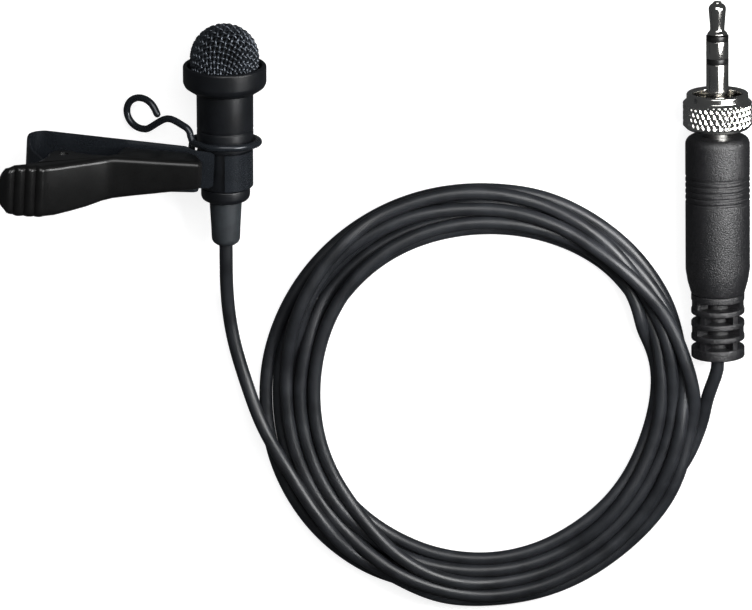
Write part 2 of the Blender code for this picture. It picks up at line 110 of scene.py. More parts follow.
# Each turn of the coil, from the microphone's end to the plug's: its radius and its layer (0 on the table,
# 1 on the strands below) at eight places, anticlockwise from the left. A row ends where the next begins.
TURNS = (
    ((36.4, 1.0), (31.9, 1.1), (33.6, 0.6), (33.8, 0.5), (33.3, 1), (30.9, 2.2), (30.5, 1.1), (31.9, 0.6)),
    ((29.8, 0), (29.6, 0), (27.8, 0), (27.9, 0), (29.8, 0), (30.6, 0), (29.0, 0), (29.1, 0)),
    ((28.4, 0.6), (28.9, 0.8), (28.6, 0.9), (28.4, 0.9), (28.9, 1), (29.3, 0.1), (27.2, 0), (27.2, 0)),
    ((27.5, 0), (27.2, 0), (26.9, 0.8), (27.1, 0.5), (28.1, 0), (29.5, 1), (28.4, 1), (27.6, 1)),
    ((26.3, 1), (27.3, 1.1), (30.5, 1.1), (30.1, 1.1), (30.7, 1), (31.6, 1.1), (33.2, 1), (32.8, 1)),
    ((30.6, 1), (30.8, 1), (32.4, 1), (32.0, 1), (32.1, 0.9), (32.1, 0.4), (31.1, 0), (30.9, 0.4)),
    ((31.8, 0), (31.8, 0), (29.8, 0), (29.9, 0), (32.0, 0), (32.8, 0), (33.2, 0), (33.5, 0)),
    ((33.9, 0), (33.9, 0), (31.8, 0), (32.0, 0)),
)


def coil_points():
    """The turns as points 22.5 degrees apart, drawn in radius, angle and height so that they stay round."""
    spots = [
        (radius, math.pi + step * math.pi / 4, FLOOR_LAYER + layer * (TOP_LAYER - FLOOR_LAYER))
        for step, (radius, layer) in enumerate(spot for row in TURNS for spot in row)
    ]
    return [
        (COIL_CENTRE[0] + radius * math.cos(angle), COIL_CENTRE[1] + radius * math.sin(angle), height)
        for radius, angle, height in smooth_path(spots, 2)
    ]


# Strands that overlap part sideways and upwards in these shares: the coil keeps its outline and piles up.
PILE_UP = np.array((0.18, 0.18, 1.2))

# What a round of settling does: the share of each bend's unevenness that it takes out, the share of the
# way back to the drawn route, how far the lead sinks, and how much of an overlap and of a change in length
# it puts right.
EASE, HOMEWARD, SINK, PART, KEEP_LENGTH = 0.9, 0.02, 0.01, 1.6, 0.7

# Points that stay put at the boot and at the plug, and the rounds from one search for near strands to the
# next.
HELD_AT_BOOT, HELD_AT_PLUG, SEARCH_EVERY = 12, 8, 8

# How far apart the middles of two strands come to lie, how near they are when they start to be watched,
# and how far along the lead two points still belong to one strand.
CLEAR, WATCHED, SAME_STRAND = CORD_D * 1.004, CORD_D + 1.2, 1.6 * CORD_D


def settle(points, rounds):
    """Lets the lead lie: it keeps its length and its bends stay easy, while strands that overlap part."""
    held = np.zeros(len(points), bool)
    held[:HELD_AT_BOOT] = True
    held[-HELD_AT_PLUG:] = True
    start = points.copy()
    step = np.linalg.norm(np.diff(points, axis=0), axis=1).mean()
    skip = int(SAME_STRAND / step) + 1
    count = len(points)
    first = second = np.zeros(0, int)
    for k in range(rounds):
        if k % SEARCH_EVERY == 0:
            gaps = ((points[:, None, :] - points[None, :, :]) ** 2).sum(axis=2)
            first, second = np.nonzero(gaps < WATCHED**2)
            keep = second - first > skip
            first, second = first[keep], second[keep]
        middle = (points[:-2] + points[2:]) / 2
        pull = np.zeros_like(points)
        pull[1:-1] = 0.25 * (middle - points[1:-1])
        bow = np.zeros_like(points)
        bow[2:-2] = (pull[1:-3] + pull[3:-1]) / 2 - pull[2:-2]
        points = points - EASE * bow + HOMEWARD * (start - points)
        points[:, 2] -= SINK
        for _ in range(2):
            apart = points[first] - points[second]
            gap = np.linalg.norm(apart, axis=1)
            push = np.clip(CLEAR - gap, 0, None) / np.maximum(gap, 1e-6)
            shift = np.zeros_like(points)
            number = np.ones(count)
            half = 0.5 * push[:, None] * apart * PILE_UP
            np.add.at(shift, first, half)
            np.add.at(shift, second, -half)
            np.add.at(number, first, push > 0)
            np.add.at(number, second, push > 0)
            points = points + PART * shift / number[:, None]
        along = np.diff(points, axis=0)
        long = np.linalg.norm(along, axis=1)
        fix = (0.5 * (1 - step / long))[:, None] * along
        points[:-1] += KEEP_LENGTH * fix
        points[1:] -= KEEP_LENGTH * fix
        points[:, 2] = np.maximum(points[:, 2], CORD_D / 2)
        points[held] = start[held]
    return points


def lead_route():
    """The whole lead, from the microphone's boot to the plug's strain relief, in world millimetres."""
    on_mic = [MIC @ Vector((0, height, 0)) for height in (0.0, -1.6, -3.2)]
    down = [
        (14.25, -24.4, 2.8), (14.55, -29.3, 1.4), (15.35, -34.2, 1.1), (16.75, -39.3, 1.2),
        (18.5, -44.2, 2.1), (22.1, -51.9, 3.2),
    ]
    on_plug = [PLUG @ Vector((0, height, 0)) for height in (-1.4, 0.2, 1.0)]
    up = [(85.5, -55.7, 1.1), (89.1, -47.8, 1.7), (89.8, -43.9, 2.9), (90.65, -40.6, 4.0)]
    route = smooth_path(on_mic + down + coil_points()[2:] + up + on_plug, 12)
    route = evenly(route, 1.9)
    return settle(route, 260)


def make_lead(look):
    """The lead as one round curve, with the points that it follows."""
    points = lead_route()
    data = bpy.data.curves.new("lead", "CURVE")
    data.dimensions = "3D"
    data.bevel_depth = CORD_D / 2 * MM
    data.bevel_resolution = 5
    data.use_fill_caps = True
    data.resolution_u = 2
    spline = data.splines.new("NURBS")
    spline.points.add(len(points) - 1)
    spline.order_u = 4
    spline.use_endpoint_u = True
    for target, point in zip(spline.points, points):
        target.co = (*(point * MM), 1)
    lead = bpy.data.objects.new("lead", data)
    bpy.context.scene.collection.objects.link(lead)
    lead.data.materials.append(look)
    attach(lead, "microphone")
    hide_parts("cord_mic_end", "cord_coil", "cord_plug_end")
    return lead, points


# ---------------------------------------------------------------- finishes


def tuned(name, colour, rough, metal=0.0, coat=0.0, specular=0.5):
    """A material with its Principled shader, to which the finishes below add their detail."""
    made = bpy.data.materials.new(name)
    made.use_nodes = True
    shader = made.node_tree.nodes["Principled BSDF"]
    shader.inputs["Base Color"].default_value = (*colour, 1)
    shader.inputs["Roughness"].default_value = rough
    shader.inputs["Metallic"].default_value = metal
    shader.inputs["Specular IOR Level"].default_value = specular
    shader.inputs["Coat Weight"].default_value = coat
    shader.inputs["Coat Roughness"].default_value = 0.12
    return made, made.node_tree, shader


def pattern(tree, kind, scale, **settings):
    """A texture node that reads the piece's own coordinates, stretched where a scale is three numbers."""
    texture = tree.nodes.new(kind)
    places = tree.nodes.new("ShaderNodeTexCoord")
    if isinstance(scale, tuple):
        stretch = tree.nodes.new("ShaderNodeMapping")
        stretch.inputs["Scale"].default_value = scale
        tree.links.new(places.outputs["Object"], stretch.inputs["Vector"])
        tree.links.new(stretch.outputs["Vector"], texture.inputs["Vector"])
        texture.inputs["Scale"].default_value = 1.0
    else:
        tree.links.new(places.outputs["Object"], texture.inputs["Vector"])
        texture.inputs["Scale"].default_value = scale
    for key, value in settings.items():
        texture.inputs[key].default_value = value
    return texture


def spread(tree, source, low, high, into):
    """Maps a texture's 0 to 1 onto a range, and puts it into a socket."""
    ranged = tree.nodes.new("ShaderNodeMapRange")
    ranged.inputs["From Min"].default_value = 0.25
    ranged.inputs["From Max"].default_value = 0.75
    ranged.inputs["To Min"].default_value = low
    ranged.inputs["To Max"].default_value = high
    tree.links.new(source, ranged.inputs["Value"])
    tree.links.new(ranged.outputs["Result"], into)


def shade(tree, source, dark, light, into):
    """Maps a texture onto two colours."""
    ramp = tree.nodes.new("ShaderNodeValToRGB")
    ramp.color_ramp.elements[0].position = 0.3
    ramp.color_ramp.elements[1].position = 0.7
    ramp.color_ramp.elements[0].color = (*dark, 1)
    ramp.color_ramp.elements[1].color = (*light, 1)
    tree.links.new(source, ramp.inputs["Fac"])
    tree.links.new(ramp.outputs["Color"], into)


def bumped(tree, shader, source, depth, strength=1.0, after=None):
    """Adds a bump of this depth in millimetres, after another bump if there is one."""
    bump = tree.nodes.new("ShaderNodeBump")
    bump.inputs["Strength"].default_value = strength
    bump.inputs["Distance"].default_value = depth * MM
    tree.links.new(source, bump.inputs["Height"])
    if after:
        tree.links.new(after.outputs["Normal"], bump.inputs["Normal"])
    tree.links.new(bump.outputs["Normal"], shader.inputs["Normal"])
    return bump


def grained(name, colour, rough, grain, depth, swing=0.35, **facts):
    """A moulded or painted surface: its colour drifts slowly, and its grain shows in gloss and bump."""
    made, tree, shader = tuned(name, colour, rough, **facts)
    slow = pattern(tree, "ShaderNodeTexNoise", 350.0, Detail=4.0)
    fine = pattern(tree, "ShaderNodeTexNoise", 1000.0 / grain, Detail=3.0, Roughness=0.6)
    low = tuple(c * (1 - swing) for c in colour)
    high = tuple(c * (1 + swing) for c in colour)
    shade(tree, slow.outputs["Fac"], low, high, shader.inputs["Base Color"])
    spread(tree, fine.outputs["Fac"], rough * 0.85, min(1.0, rough * 1.15), shader.inputs["Roughness"])
    bumped(tree, shader, fine.outputs["Fac"], depth)
    return made


def spark_plastic():
    """Black plastic from a spark-eroded mould: a fine grain that glints."""
    made, tree, shader = tuned("spark_plastic", (0.006, 0.006, 0.007), 0.36, specular=0.7)
    coarse = pattern(tree, "ShaderNodeTexNoise", 4600.0, Detail=2.0, Roughness=0.7)
    fine = pattern(tree, "ShaderNodeTexNoise", 9000.0, Detail=2.0)
    dark, light = (0.004, 0.004, 0.005), (0.01, 0.01, 0.011)
    shade(tree, fine.outputs["Fac"], dark, light, shader.inputs["Base Color"])
    spread(tree, coarse.outputs["Fac"], 0.24, 0.5, shader.inputs["Roughness"])
    bumped(tree, shader, coarse.outputs["Fac"], 0.13)
    return made


def turned_metal(name, colour, rough, line=0.05, depth=0.0012):
    """Plated metal off the lathe: very fine rings along the axis, and a little tarnish."""
    made, tree, shader = tuned(name, colour, rough, metal=1.0)
    rings = pattern(tree, "ShaderNodeTexNoise", (60.0, 1000.0 / line, 60.0), Detail=2.0)
    stain = pattern(tree, "ShaderNodeTexNoise", 420.0, Detail=5.0)
    darker = tuple(c * 0.86 for c in colour)
    shade(tree, stain.outputs["Fac"], darker, colour, shader.inputs["Base Color"])
    spread(tree, stain.outputs["Fac"], rough * 0.75, rough * 1.35, shader.inputs["Roughness"])
    bumped(tree, shader, rings.outputs["Fac"], depth)
    return made


def open_foam():
    """Black foam with open cells, whose holes get a darker colour as painted shade."""
    made, tree, shader = tuned("open_foam", (0.008, 0.008, 0.009), 0.95)
    cells = pattern(tree, "ShaderNodeTexVoronoi", 3200.0)
    # The darker colour of the holes is painted shade in the cells.
    walls, hole_shade = (0.012, 0.012, 0.013), (0.003, 0.003, 0.003)
    shade(tree, cells.outputs["Distance"], walls, hole_shade, shader.inputs["Base Color"])
    bumped(tree, shader, cells.outputs["Distance"], 0.15)
    return made


def lead_jacket():
    """Soft black jacket: a satin skin whose colour and gloss drift a little, with fine grain."""
    made, tree, shader = tuned("lead_jacket", (0.016, 0.0175, 0.02), 0.4)
    fine = pattern(tree, "ShaderNodeTexNoise", 9000.0, Detail=3.0)
    slow = pattern(tree, "ShaderNodeTexNoise", 260.0, Detail=3.0)
    dark, light = (0.011, 0.012, 0.014), (0.021, 0.023, 0.027)
    shade(tree, slow.outputs["Fac"], dark, light, shader.inputs["Base Color"])
    spread(tree, slow.outputs["Fac"], 0.34, 0.46, shader.inputs["Roughness"])
    bumped(tree, shader, fine.outputs["Fac"], 0.012)
    return made


def make_finishes():
    """The finish of each material slot in the record."""
    return {
        "mesh": grained("coated_wire", (0.075, 0.085, 0.1), 0.27, 0.08, 0.004, metal=0.75, coat=0.3),
        "housing": grained("satin_black_paint", (0.006, 0.007, 0.009), 0.38, 0.07, 0.004),
        "rubber": grained("boot_rubber", (0.026, 0.031, 0.036), 0.6, 0.16, 0.03),
        "foam": open_foam(),
        "aluminium": turned_metal("satin_aluminium", (0.75, 0.75, 0.76), 0.35),
        "film": turned_metal("metal_film", (0.7, 0.65, 0.5), 0.25),
        "board": grained("board_lacquer", (0.02, 0.12, 0.05), 0.4, 0.2, 0.005),
        "black_steel": grained(
            "gloss_black_steel", (0.022, 0.026, 0.032), 0.26, 0.12, 0.002, 0.12, metal=0.4, coat=0.25
        ),
        "steel": turned_metal("plain_steel", (0.6, 0.6, 0.6), 0.3),
        "lever": grained("moulded_lever", (0.006, 0.006, 0.006), 0.3, 0.09, 0.004, coat=0.1),
        "cord": lead_jacket(),
        "plug_plastic": spark_plastic(),
        "nickel": turned_metal("bright_nickel", (0.80, 0.785, 0.75), 0.13),
        "insulator": grained("black_insulator", (0.006, 0.006, 0.006), 0.3, 0.1, 0.002),
        "brass": turned_metal("turned_brass", (0.72, 0.54, 0.26), 0.3),
    }


# ---------------------------------------------------------------- pieces


def place_mesh(name, mesh, frame_matrix, finish, body, replaced=(), smooth_angle=35.0):
    """Turns a mesh drawn in a frame's millimetres into a piece that rides on a body."""
    bmesh.ops.recalc_face_normals(mesh, faces=mesh.faces)
    bmesh.ops.transform(mesh, matrix=Matrix.Scale(MM, 4) @ frame_matrix, verts=mesh.verts)
    data = bpy.data.meshes.new(name)
    for edge in mesh.edges:
        edge.smooth = len(edge.link_faces) < 2 or edge.calc_face_angle(0) < math.radians(smooth_angle)
    for face in mesh.faces:
        face.smooth = True
    mesh.to_mesh(data)
    mesh.free()
    made = bpy.data.objects.new(name, data)
    bpy.context.scene.collection.objects.link(made)
    data.materials.append(finish)
    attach(made, body)
    if replaced:
        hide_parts(*replaced)
    return made


# A corner that bends less than this stays as it is, and rounding takes up at most this share of an edge.
LEAST_CORNER, CORNER_SHARE = math.radians(12), 0.42


def rounded(profile, radius, closed=True, steps=3):
    """The profile with each of its corners rounded by up to this radius."""
    points = [Vector(p) for p in profile]
    found = []
    for k, here in enumerate(points):
        if not closed and k in (0, len(points) - 1):
            found.append(tuple(here))
            continue
        before, after = points[k - 1] - here, points[(k + 1) % len(points)] - here
        if math.pi - before.angle(after) < LEAST_CORNER:
            found.append(tuple(here))
            continue
        reach = min(radius, CORNER_SHARE * before.length, CORNER_SHARE * after.length)
        start, end = here + before.normalized() * reach, here + after.normalized() * reach
        for step in range(steps + 1):
            t = step / steps
            found.append(tuple(start * (1 - t) ** 2 + here * 2 * t * (1 - t) + end * t**2))
    return found


def arc(centre, radius, start, end, steps):
    """Points on an arc, from one angle in degrees to another."""
    angles = [math.radians(start + (end - start) * k / steps) for k in range(steps + 1)]
    return [(centre[0] + radius * math.cos(a), centre[1] + radius * math.sin(a)) for a in angles]


def turned(profile, sides=128, closed=True, shape=None):
    """A solid turned about y from (radius, height) points; shape may change a radius by place."""
    mesh = bmesh.new()
    rows = []
    for radius, height in profile:
        if radius < 1e-6:
            rows.append([mesh.verts.new((0, height, 0))])
            continue
        row = []
        for k in range(sides):
            angle = 2 * math.pi * k / sides
            far = shape(radius, height, angle) if shape else radius
            row.append(mesh.verts.new((far * math.cos(angle), height, far * math.sin(angle))))
        rows.append(row)
    pairs = list(zip(rows, rows[1:]))
    if closed:
        pairs.append((rows[-1], rows[0]))
    for low, high in pairs:
        for k in range(sides):
            n = (k + 1) % sides
            corners = [low[k % len(low)], low[n % len(low)], high[n % len(high)], high[k % len(high)]]
            corners = list(dict.fromkeys(corners))
            if len(corners) > 2:
                mesh.faces.new(corners)
    return mesh


def tube(mesh, points, radius, sides=8):
    """Adds a round wire with domed ends to the mesh; the points are in its own millimetres."""
    points = [Vector(p) for p in points]
    aim = (points[1] - points[0]).normalized()
    side = aim.orthogonal().normalized()
    rows = []
    caps = ((-0.92, 0.35), (-0.6, 0.8))
    stations = [(points[0] + aim * radius * a, aim, radius * b) for a, b in caps]
    for k, point in enumerate(points):
        ahead = (points[min(k + 1, len(points) - 1)] - points[max(k - 1, 0)]).normalized()
        stations.append((point, ahead, radius))
    last = stations[-1][1]
    stations += [(points[-1] - last * radius * a, last, radius * b) for a, b in reversed(caps)]
    for point, ahead, wide in stations:
        side = (side - ahead * side.dot(ahead)).normalized()
        other = ahead.cross(side)
        angles = [2 * math.pi * k / sides for k in range(sides)]
        rows.append([
            mesh.verts.new(point + (side * math.cos(a) + other * math.sin(a)) * wide) for a in angles
        ])
    for low, high in zip(rows, rows[1:]):
        for k in range(sides):
            n = (k + 1) % sides
            mesh.faces.new((low[k], low[n], high[n], high[k]))
    mesh.faces.new(list(reversed(rows[0])))
    mesh.faces.new(rows[-1])


def extruded(outline, low, high, mesh=None):
    """A prism along y from an (x, z) outline, between two heights; it joins the mesh if one is given."""
    mesh = mesh or bmesh.new()
    bottom = [mesh.verts.new((x, low, z)) for x, z in outline]
    top = [mesh.verts.new((x, high, z)) for x, z in outline]
    mesh.faces.new(bottom)
    mesh.faces.new(list(reversed(top)))
    for k in range(len(outline)):
        n = (k + 1) % len(outline)
        mesh.faces.new((bottom[k], top[k], top[n], bottom[n]))
    return mesh


def pillow(outline, low, high, radius, layers=6):
    """A prism along y from an (x, z) outline, with rounded ends; low and high give their heights at x."""
    points = [Vector(p) for p in outline]
    count = len(points)
    travel = [(points[(k + 1) % count] - points[k]).length for k in range(count)]
    area = sum(points[k - 1].x * points[k].y - points[k].x * points[k - 1].y for k in range(count))
    inward = []
    for k in range(count):
        ends = []
        for way in (-1, 1):
            at, gone = k, 0.0
            while gone < 1.1 * radius:
                gone += travel[at - 1] if way < 0 else travel[at]
                at = (at + way) % count
            ends.append(points[at])
        along = (ends[1] - ends[0]).normalized()
        inward.append(Vector((-along.y, along.x)) * (1 if area > 0 else -1))
    mesh = bmesh.new()
    rows = []
    bends = [math.pi / 2 * k / layers for k in range(layers + 1)]
    for edge, up, turns in ((low, 1, bends), (high, -1, list(reversed(bends)))):
        for bend in turns:
            inset, lift = radius * (1 - math.sin(bend)), radius * (1 - math.cos(bend))
            rows.append([
                mesh.verts.new((p.x + n.x * inset, edge(p.x) + up * lift, p.y + n.y * inset))
                for p, n in zip(points, inward)
            ])
    for below, above in zip(rows, rows[1:]):
        for k in range(count):
            n = (k + 1) % count
            mesh.faces.new((below[k], above[k], above[n], below[n]))
    mesh.faces.new(rows[0])
    mesh.faces.new(list(reversed(rows[-1])))
    return mesh


def apply_all(obj):
    """Bakes the object's modifiers into its mesh."""
    graph = bpy.context.evaluated_depsgraph_get()
    made = bpy.data.meshes.new_from_object(obj.evaluated_get(graph))
    obj.modifiers.clear()
    obj.data = made


def cut_out(obj, tool):
    """Cuts one piece out of another, and drops the tool."""
    made = obj.modifiers.new("cut", "BOOLEAN")
    made.operation = "DIFFERENCE"
    made.solver = "EXACT"
    made.object = tool
    apply_all(obj)
    bpy.data.objects.remove(tool, do_unlink=True)


# ---------------------------------------------------------------- microphone


def make_housing(looks):
    """The two barrels, the end cap and the rubber boot."""
    lathed = (
        ("housing_upper", "upper_housing", "housing", 0.1,
         [(3.7, 15.8), (4.27, 15.8), (4.42, 16.0), (4.42, 18.8), (4.28, 18.86), (4.28, 19.14), (4.42, 19.2),
          (4.42, 26.8), (3.7, 26.8)]),
        ("housing_lower", "lower_housing", "housing", 0.15,
         [(3.35, 9.55), (3.85, 9.55), (3.85, 15.75), (3.65, 15.75), (3.65, 18.6), (3.35, 18.6)]),
        ("housing_end_cap", "end_cap", "housing", 0.3,
         [(2.05, 7.3), (3.0, 7.3), (3.6, 7.6), (3.84, 8.1), (3.84, 9.5), (3.3, 9.5), (3.3, 11.0),
          (2.05, 11.0)]),
    )
    for name, node, slot, radius, profile in lathed:
        mesh = turned(rounded(profile, radius))
        place_mesh(name, mesh, MIC, looks[slot], "microphone", (node,))
    boot = [
        (0, 0), (1.35, 0), (2.02, 0.5), (2.22, 1.0), (2.3, 3.0), (2.54, 7.2), (2.0, 7.2), (2.0, 8.2),
        (0, 8.2),
    ]
    mesh = turned(rounded(boot, 0.3, closed=False), closed=False)
    place_mesh("boot", mesh, MIC, looks["rubber"], "microphone", ("cable_boot",))


def make_collar(looks):
    """The ring that holds the dome: a chamfered foot, a straight wall and a narrow rim."""
    profile = [
        (4.47, 25.0), (4.95, 25.0), (6.2, 25.85), (6.5, 26.5), (6.5, 29.05), (6.3, 29.3),
        (5.95, 29.3), (5.8, 29.1), (5.65, 27.45), (3.9, 27.45), (3.9, 26.85), (4.47, 26.85),
    ]
    mesh = turned(rounded(profile, 0.22, steps=4), 160)
    place_mesh("collar", mesh, MIC, looks["housing"], "windscreen", ("windscreen_collar",))


# The dome's radius over the wires, and the heights of its centre and its foot.
DOME_R, DOME_CENTRE, DOME_FOOT = 5.45, 30.35, 27.5

# The weave: its pitch, the wires' radius, its turn about the axis in degrees, its reach from the crown in
# pitches, and how far above the dome's foot it ends.
WIRE_PITCH, MESH_WIRE_R, MESH_TURN, MESH_REACH, MESH_END = 0.86, 0.21, 14.0, 13, 0.25

# The hem: how far above the foot it lies, and the radii of its ring and of its wire.
HEM_LIFT, HEM_R, HEM_WIRE_R = 0.4, 5.05, 0.36

# The liner: its gap under the wires, and its thickness.
LINER_GAP, LINER_WALL = 0.05, 0.7


def on_dome(u, v, lift):
    """The point of the weave at these ways along two wires from its crown, or None past the foot."""
    way = math.hypot(u, v)
    middle = DOME_R - 2 * MESH_WIRE_R
    angle = math.atan2(v, u) + math.radians(MESH_TURN)
    quarter = middle * math.pi / 2
    if way <= quarter:
        tip = way / middle
        far, height = (middle + lift) * math.sin(tip), DOME_CENTRE + (middle + lift) * math.cos(tip)
    else:
        far, height = middle + lift, DOME_CENTRE - (way - quarter)
    if height < DOME_FOOT + MESH_END:
        return None
    return (far * math.cos(angle), height, far * math.sin(angle))


def make_windscreen(looks):
    """The dome's two families of wires, which pass over and under each other, its hem and its liner."""
    mesh = bmesh.new()
    fine = 6
    for family in (0, 1):
        for wire in range(-MESH_REACH, MESH_REACH + 1):
            across = (wire + 0.5) * WIRE_PITCH
            run = []
            for step in range(-MESH_REACH * fine, MESH_REACH * fine + 1):
                along = step * WIRE_PITCH / fine
                phase = math.pi * (step / fine - 0.5 + wire + family)
                lift = MESH_WIRE_R * 0.96 * math.sin(phase + math.pi / 2)
                spot = on_dome(*((along, across) if family == 0 else (across, along)), lift)
                if spot:
                    run.append(spot)
            if len(run) > 3:
                tube(mesh, run, MESH_WIRE_R, 7)
    place_mesh("weave", mesh, MIC, looks["mesh"], "windscreen", ("windscreen_mesh",), 60)
    hem = turned(arc((HEM_R, DOME_FOOT + HEM_LIFT), HEM_WIRE_R, 0, 330, 11), 96)
    place_mesh("weave_hem", hem, MIC, looks["mesh"], "windscreen")
    top = DOME_R - 4 * MESH_WIRE_R - LINER_GAP
    outer = arc((0, DOME_CENTRE), top, 0, 90, 24)
    inner = arc((0, DOME_CENTRE), top - LINER_WALL, 90, 0, 16)
    profile = [(top, DOME_FOOT)] + outer[:-1] + [(0, outer[-1][1])]
    skin = [(0, inner[0][1])] + inner[1:] + [(top - LINER_WALL, DOME_FOOT)]
    mesh = turned(list(reversed(profile)) + list(reversed(skin)), 72, False)
    place_mesh("liner", mesh, MIC, looks["foam"], "windscreen", ("foam_liner",))


# ---------------------------------------------------------------- clip


# The hinge pin's (x, z) and the height of the strip's outer face, from the barrel's axis.
PIVOT = (-24.2, 11.15)
STRIP_FRONT = 4.95


def between(knots, x):
    """Straight-line reading of a list of (x, value) knots."""
    for (x0, v0), (x1, v1) in zip(knots, knots[1:]):
        if x <= x1:
            return v0 + (v1 - v0) * (x - x0) / (x1 - x0)
    return knots[-1][1]


def sheet(path, thickness, half_width, middle=0.0, edge=0.07):
    """A bent strip of sheet metal with softened edges, from an (x, z) path."""
    mesh = bmesh.new()
    points = [Vector((x, 0, z)) for x, z in path]
    rows = []
    travel = 0.0
    half = thickness / 2
    for k, point in enumerate(points):
        travel += (point - points[k - 1]).length if k else 0
        along = (points[min(k + 1, len(points) - 1)] - points[max(k - 1, 0)]).normalized()
        side = Vector((along.z, 0, -along.x))
        wide = half_width(travel)
        mid = point + Vector((0, middle, 0))
        ring = ((half, wide - edge), (half - edge, wide), (edge - half, wide), (-half, wide - edge),
                (-half, edge - wide), (edge - half, -wide), (half - edge, -wide), (half, edge - wide))
        rows.append([mesh.verts.new(mid + side * a + Vector((0, b, 0))) for a, b in ring])
    mesh.faces.new(rows[0])
    mesh.faces.new(list(reversed(rows[-1])))
    for low, high in zip(rows, rows[1:]):
        for k in range(8):
            n = (k + 1) % 8
            mesh.faces.new((low[k], high[k], high[n], low[n]))
    return mesh


def make_wire_ring(looks):
    """The wire: a short tail, the ring round the barrel, the way out, and the pigtail's loop."""
    tail = [(-5.2, 13.2, -0.6), (-5.25, 14.4, -0.55), (-5.3, 15.6, -0.5)]
    ring = []
    for degrees in range(-168, 136, 16):
        a = math.radians(degrees)
        ring.append((5.2 * math.cos(a), 16.8 + 0.45 * math.sin(a), 5.2 * math.sin(a)))
    out = [(-4.6, 17.35, 2.9), (-5.1, 18.1, 2.5), (-5.45, 19.1, 2.2), (-6.4, 19.75, 1.7), (-9.05, 20.35, 0.1)]
    loop = []
    for degrees in range(-60, -331, -22):
        x = -13.3 + 2.45 * math.cos(math.radians(degrees))
        loop.append((x, 20.4 + 2.5 * math.sin(math.radians(degrees)), -2.35 - 0.55 * (-13.3 - x)))
    loop.append((-10.7, 20.75, -0.9))
    mesh = bmesh.new()
    tube(mesh, smooth_path(tail + ring + out + loop, 5), 0.55, 20)
    place_mesh("pigtail", mesh, CLIP, looks["black_steel"], "clip", ("wire_ring",), 50)


def make_sleeve(looks):
    """Sheet rolled round the barrel, with a tab that the strip lies on."""
    round_part = arc((0, 0), 4.15, 86, -180, 96)
    corner = arc((-4.75, 3.25), 0.6, 0, 90, 8)
    lift = 4.25 - corner[-1][1]
    path = round_part + [(x, z + lift) for x, z in corner] + [(-7.5, 4.25), (-10.5, 4.25)]
    mesh = sheet(path, 0.4, lambda t: 2.975, 12.725)
    place_mesh("sleeve", mesh, CLIP, looks["black_steel"], "clip", ("holder_sleeve",))


def make_strip(looks):
    """Spring steel: a flat run, a bend back over itself, and an end curled round the hinge pin."""
    level, first_x, flat = 4.725, -1.35, 26.35
    bend, bend_r, curl_r, curl_turn = (-27.7, 7.225), 2.5, 0.965, 285
    across = (PIVOT[0] - bend[0], PIVOT[1] - bend[1])
    slant = math.asin((bend_r - curl_r) / math.hypot(*across))
    heading = math.degrees(math.atan2(across[1], across[0]) - slant)
    path = [(first_x - flat * k / 40, level) for k in range(40)]
    path += arc(bend, bend_r, 270, 90 + heading, 36)
    path += arc(PIVOT, curl_r, 90 + heading, 90 + heading - curl_turn, 48)
    # Half the strip's width at these distances along it.
    knots = [
        (0, 2.45), (0.3, 2.8), (0.7, 2.95), (3.2, 3.05), (4.5, 3.6), (26.4, 4.45), (29.5, 4.3), (31.5, 3.2),
        (33.2, 2.2), (36.4, 2.15), (36.6, 1.1), (60, 1.1),
    ]
    mesh = sheet(path, 0.45, lambda t: between(knots, t))
    # The curl is narrow, and lies on one side to leave room for the torsion spring.
    curl_reach, curl_shift = 1.6, 1.05
    for vert in mesh.verts:
        if math.hypot(vert.co.x - PIVOT[0], vert.co.z - PIVOT[1]) < curl_reach:
            vert.co.y -= curl_shift
    place_mesh("spring_strip", mesh, CLIP_FLAT, looks["black_steel"], "clip", ("clip_strip",))


def lever_front():
    """The lever's front outline from its jaw tip to the end of the ribbed grip, above the strip."""
    points = [
        (-2.8, 5.3), (-3.3, 5.9), (-6.5, 6.2), (-9.7, 6.5), (-13.0, 6.75), (-16.2, 7.0), (-17.6, 7.5),
        (-19.8, 9.1), (-22.1, 10.7), (-24.4, 12.3), (-25.5, 12.95),
    ]
    ribs, pitch, steps = 4, 1.6, 10
    first_x, foot, slope, rib_height = -26.0, 13.3, 0.19, 0.42
    for rib in range(ribs):
        start = first_x - rib * pitch
        for k in range(steps):
            t = k / steps
            rise = slope * (first_x - start) + slope * pitch * t
            points.append((start - pitch * t, foot + rise + rib_height * math.sin(math.pi * t)))
    return points


def lever_outline():
    """The lever from the side: front, rounded end, knuckle round the pin, back, and the jaw's teeth."""
    end = arc((-32.2, 12.95), 1.6, 95, 255, 14)
    knuckle = arc(PIVOT, 2.6, 160, 320, 20)
    back = [(-27.8, 10.4 + STRIP_FRONT)] + knuckle
    low = [(-20.0, 5.2), (-17.5, 5.3), (-16.4, 4.4), (-15.9, 1.4), (-15.4, 0.5)]
    tooth_pitch, tooth_foot, tooth_depth = 1.55, 0.3, 0.28
    teeth = []
    for tooth in range(6):
        start = -15.0 + tooth * tooth_pitch
        for t in (0.0, 0.2, 0.4, 0.6, 0.8):
            teeth.append((start + tooth_pitch * t, tooth_foot + tooth_depth * abs(math.sin(math.pi * t))))
    jaw = teeth + [(-5.5, 0.3), (-4.3, 1.0), (-3.4, 2.4), (-2.85, 4.0)]
    return (
        [(x, z + STRIP_FRONT) for x, z in lever_front() + end] + back
        + [(x, z + STRIP_FRONT) for x, z in low + jaw]
    )


def grip_round(x):
    """How much of its full width the grip keeps towards its half-round end."""
    centre, radius = -30.0, 3.9
    return math.sqrt(max(0.04, 1 - (max(0.0, centre - x) / radius) ** 2))


def lever_middle(x):
    """The line that the lever widens from, which slants a little across the strip."""
    return 0.75 + 0.07 * (x + 3.2)


def lever_top(x):
    """The lever's upper side."""
    knots = [(-30, 4.0), (-24, 3.65), (-16, 3.3), (-2.7, 2.2)]
    return lever_middle(x) + grip_round(x) * between(knots, x)


